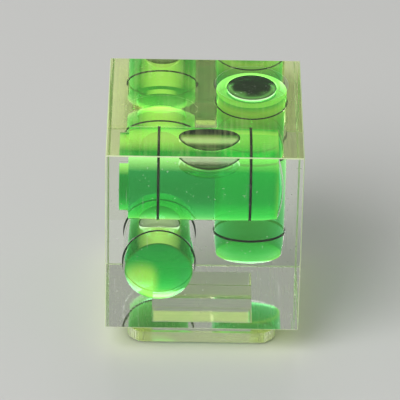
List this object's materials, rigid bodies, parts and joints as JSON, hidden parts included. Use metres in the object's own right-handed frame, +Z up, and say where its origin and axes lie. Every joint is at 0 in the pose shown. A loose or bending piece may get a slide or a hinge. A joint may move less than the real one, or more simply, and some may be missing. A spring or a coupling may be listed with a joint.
{
  "type": "camera spirit level",
  "caption": "Clear acrylic cube on an accessory shoe foot, with bubble vials filled with green liquid that lie and stand along its axes.",
  "frame": {"origin": "middle of the foot's underside, on the surface that the level stands on", "axes": "+Z up, +X to the right along the roll vial, +Y away from the face behind which the roll vial lies, along the foot's slide"},
  "size_m": [0.024, 0.024, 0.0287],
  "materials": {
    "clear_acrylic": "clear polished acrylic with a faint olive tint",
    "green_liquid": "clear fluorescent yellow-green liquid",
    "black_line": "matt black",
    "bubble_air": "clear air bubble"
  },
  "bodies": {
    "root": {"block": "clear_acrylic", "foot": "clear_acrylic", "roll_vial_plug": "clear_acrylic", "pitch_vial_plug": "clear_acrylic", "plumb_vial_plug": "clear_acrylic", "roll_line_left": "black_line", "roll_line_right": "black_line", "pitch_line_front": "black_line", "pitch_line_back": "black_line", "plumb_line_lower": "black_line", "plumb_line_upper": "black_line", "roll_liquid": "green_liquid", "pitch_liquid": "green_liquid", "plumb_liquid": "green_liquid"},
    "roll_bubble": {"roll_bubble": "bubble_air"},
    "pitch_bubble": {"pitch_bubble": "bubble_air"},
    "plumb_bubble": {"plumb_bubble": "bubble_air"}
  },
  "joints": [
    {"name": "roll_bubble_travel", "type": "slide", "parent": "root", "child": "roll_bubble", "axis": [1, 0, 0], "range_m": [-0.0056, 0.0037], "stiffness_N_per_m": 0.1, "deforming": ["roll_liquid"]},
    {"name": "pitch_bubble_travel", "type": "slide", "parent": "root", "child": "pitch_bubble", "axis": [0, 1, 0], "range_m": [-0.00425, 0.00505], "stiffness_N_per_m": 0.1, "deforming": ["pitch_liquid"]},
    {"name": "plumb_bubble_travel", "type": "slide", "parent": "root", "child": "plumb_bubble", "axis": [0, 0, 1], "range_m": [-0.0167, 0], "stiffness_N_per_m": 0.05, "springref_m": 0.06, "deforming": ["plumb_liquid"]}
  ]
}
